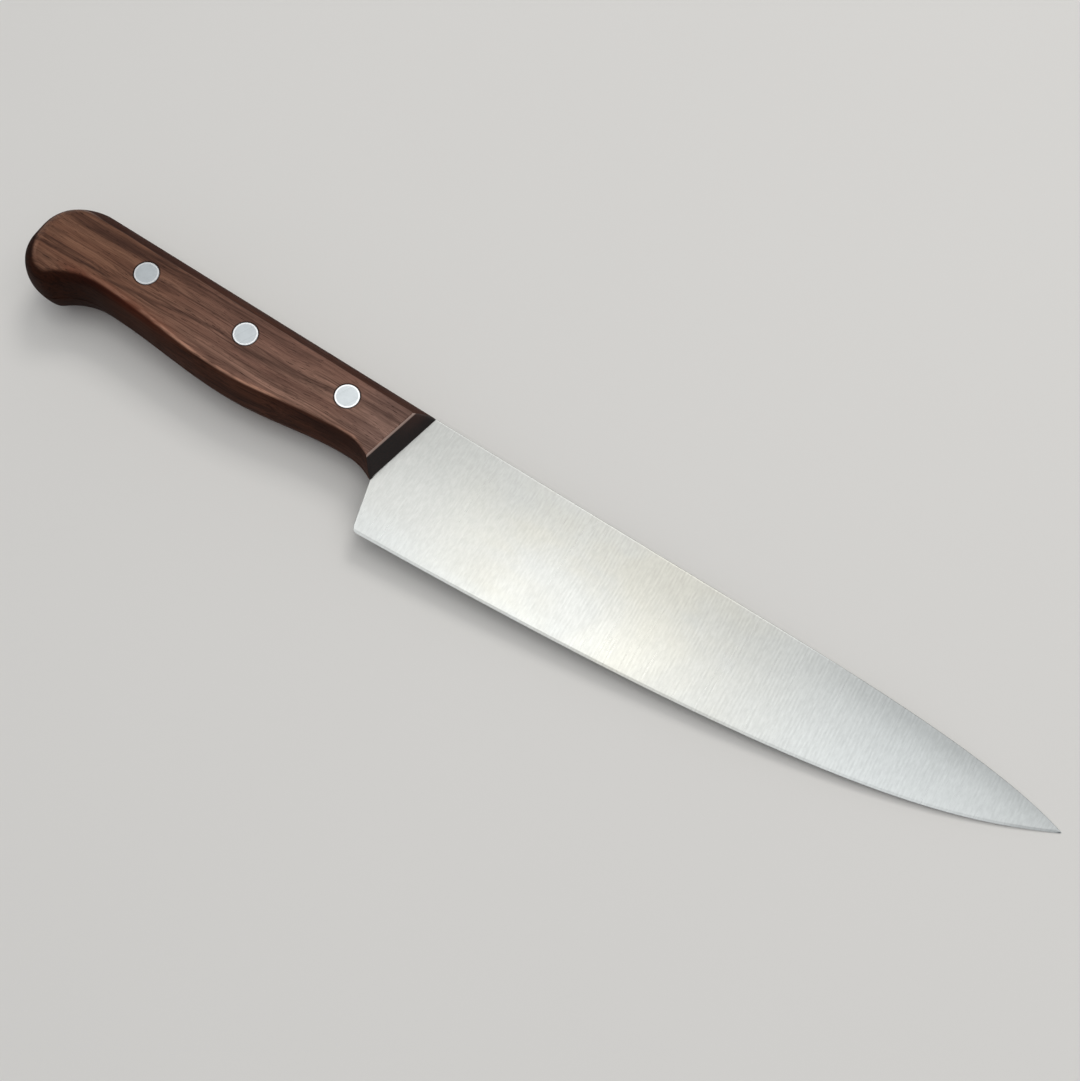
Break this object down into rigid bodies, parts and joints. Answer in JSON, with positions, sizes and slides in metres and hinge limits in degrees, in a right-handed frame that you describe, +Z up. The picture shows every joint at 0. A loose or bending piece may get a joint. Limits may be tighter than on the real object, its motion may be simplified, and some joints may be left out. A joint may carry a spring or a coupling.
{
  "type": "chef knife",
  "caption": "Chef's knife with a flat-ground steel blade, a flat tang riveted between rounded wood handle scales, and a hooked butt.",
  "frame": {"origin": "under the middle of the knife's box, on the plane of the handle's lower flat side, with the knife lying on its left side", "axes": "+X along the blade from the butt to the tip, +Y from the edge to the spine, +Z up through the thickness towards the knife's right side"},
  "size_m": [0.3134, 0.0389, 0.018],
  "materials": {
    "blade_steel": "satin, ground crosswise from spine to edge",
    "handle_wood": "dark reddish-brown hardwood, sanded and oiled to a low sheen",
    "rivet_metal": "satin, sanded flush with the wood"
  },
  "bodies": {
    "root": {"blade": "blade_steel", "right_scale": "handle_wood", "left_scale": "handle_wood", "front_rivet_barrel": "rivet_metal", "middle_rivet_barrel": "rivet_metal", "rear_rivet_barrel": "rivet_metal", "front_rivet_pin": "rivet_metal", "middle_rivet_pin": "rivet_metal", "rear_rivet_pin": "rivet_metal"}
  },
  "joints": []
}
